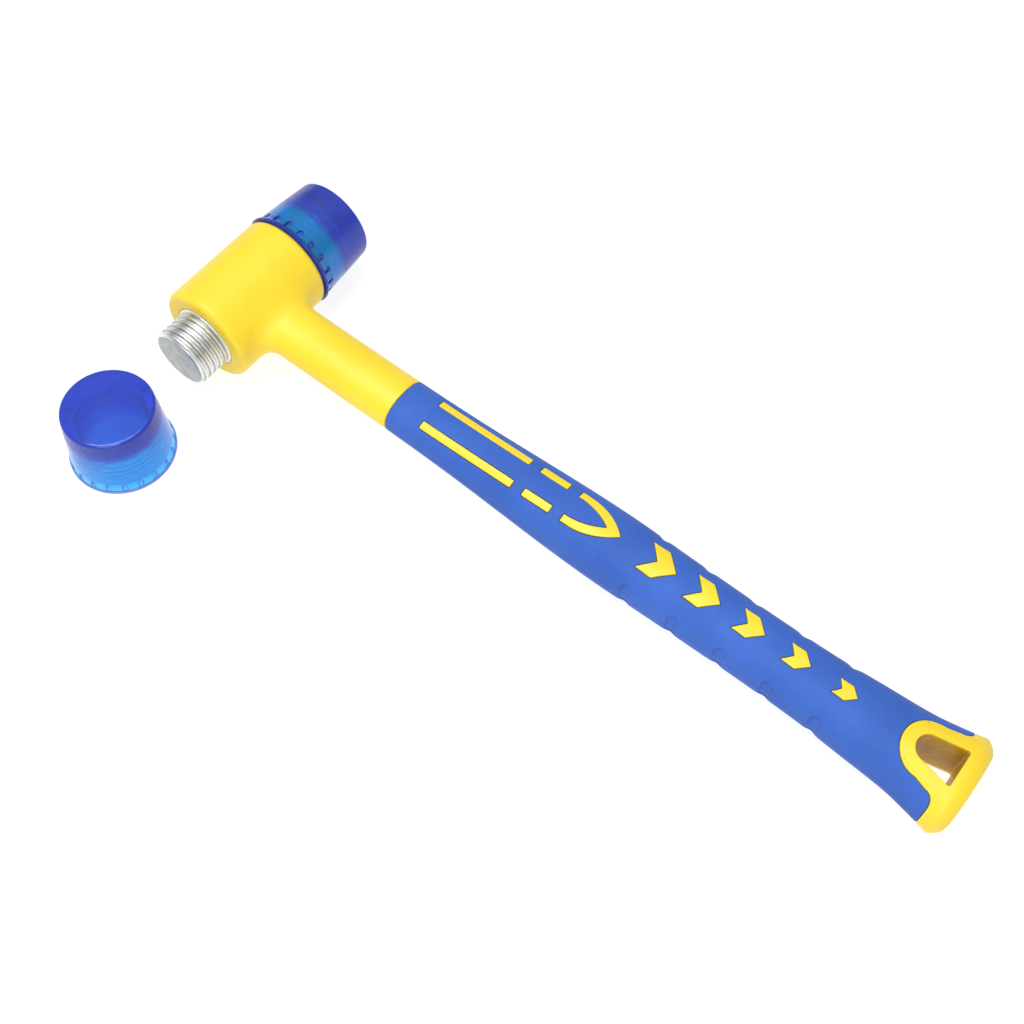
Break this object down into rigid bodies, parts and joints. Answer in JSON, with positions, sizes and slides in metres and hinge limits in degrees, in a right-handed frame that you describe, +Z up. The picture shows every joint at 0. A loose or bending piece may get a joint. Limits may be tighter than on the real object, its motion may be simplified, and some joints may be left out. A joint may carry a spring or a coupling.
{
  "type": "dead blow mallet",
  "caption": "Dead blow mallet with a moulded head and handle in one, a sleeve grip, a screw-on striking face, and a second face lying loose beside its bare threaded stud.",
  "frame": {"origin": "middle of the footprint of mallet and loose face, on the surface they lie on", "axes": "+X from the head towards the butt, +Y from the loose face towards the fitted face, +Z up from the surface"},
  "size_m": [0.3878, 0.1644, 0.0464],
  "materials": {
    "body_yellow": "satin moulded plastic",
    "grip_blue": "matte soft over-moulding",
    "face_urethane": "translucent cast urethane",
    "zinc_steel": "bright zinc plating",
    "barrel_steel": "plain turned steel",
    "shot_steel": "bright",
    "fibreglass": "pultruded rod"
  },
  "bodies": {
    "mallet": {"moulded_body": "body_yellow", "grip_sleeve": "grip_blue", "barrel": "barrel_steel", "left_stud": "zinc_steel", "right_stud": "zinc_steel", "handle_socket": "barrel_steel", "socket_pin": "barrel_steel", "fibreglass_rod": "fibreglass"},
    "shot": {"steel_shot": "shot_steel"},
    "fitted_face": {"right_face": "face_urethane"},
    "loose_face": {"left_face": "face_urethane"}
  },
  "joints": [
    {"name": "face_unscrew", "type": "slide", "parent": "mallet", "child": "fitted_face", "axis": [0.0003, 0.9999, 0.0117], "range_m": [0, 0.024]},
    {"name": "loose_face_lift", "type": "slide", "parent": "mallet", "child": "loose_face", "axis": [0, 0, 1], "range_m": [0, 0.06]},
    {"name": "shot_slide", "type": "slide", "parent": "mallet", "child": "shot", "axis": [0.0003, 0.9999, 0.0117], "range_m": [0, 0.0076]}
  ]
}
